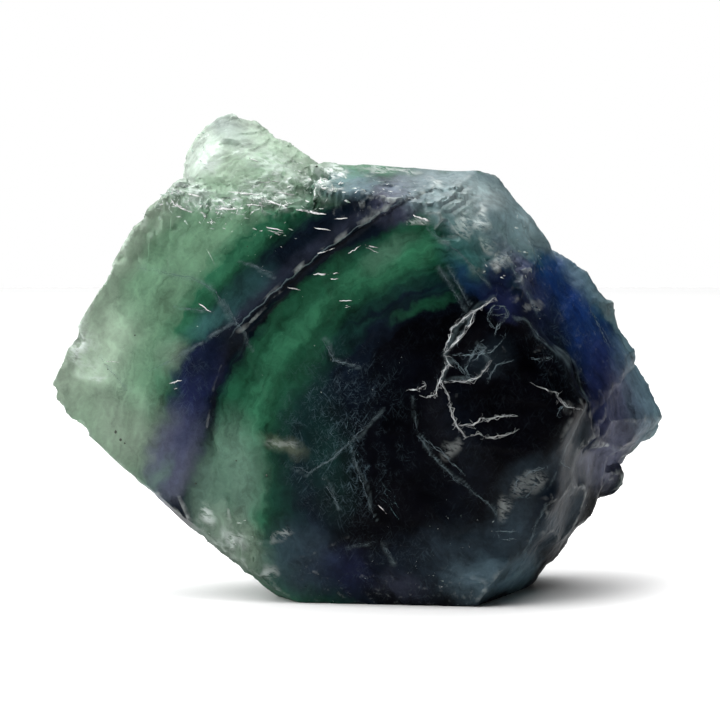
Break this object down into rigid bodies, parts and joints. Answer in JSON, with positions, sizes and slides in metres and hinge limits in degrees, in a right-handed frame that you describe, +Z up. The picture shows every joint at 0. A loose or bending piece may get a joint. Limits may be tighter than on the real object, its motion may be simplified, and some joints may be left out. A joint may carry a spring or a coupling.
{
  "type": "rough banded fluorite crystal",
  "caption": "Rough banded green and violet fluorite crystal, broken along its octahedral cleavage, standing on a flat base.",
  "frame": {"origin": "middle of the bounding box at the height of the flat break that the stone stands on", "axes": "+Z up, +X towards the violet end, -Y out of the broad banded face"},
  "size_m": [0.074, 0.031, 0.0571],
  "materials": {
    "fluorite": "cleaved, part glassy and part frosted"
  },
  "bodies": {
    "root": {"fluorite_crystal": "fluorite"}
  },
  "joints": []
}
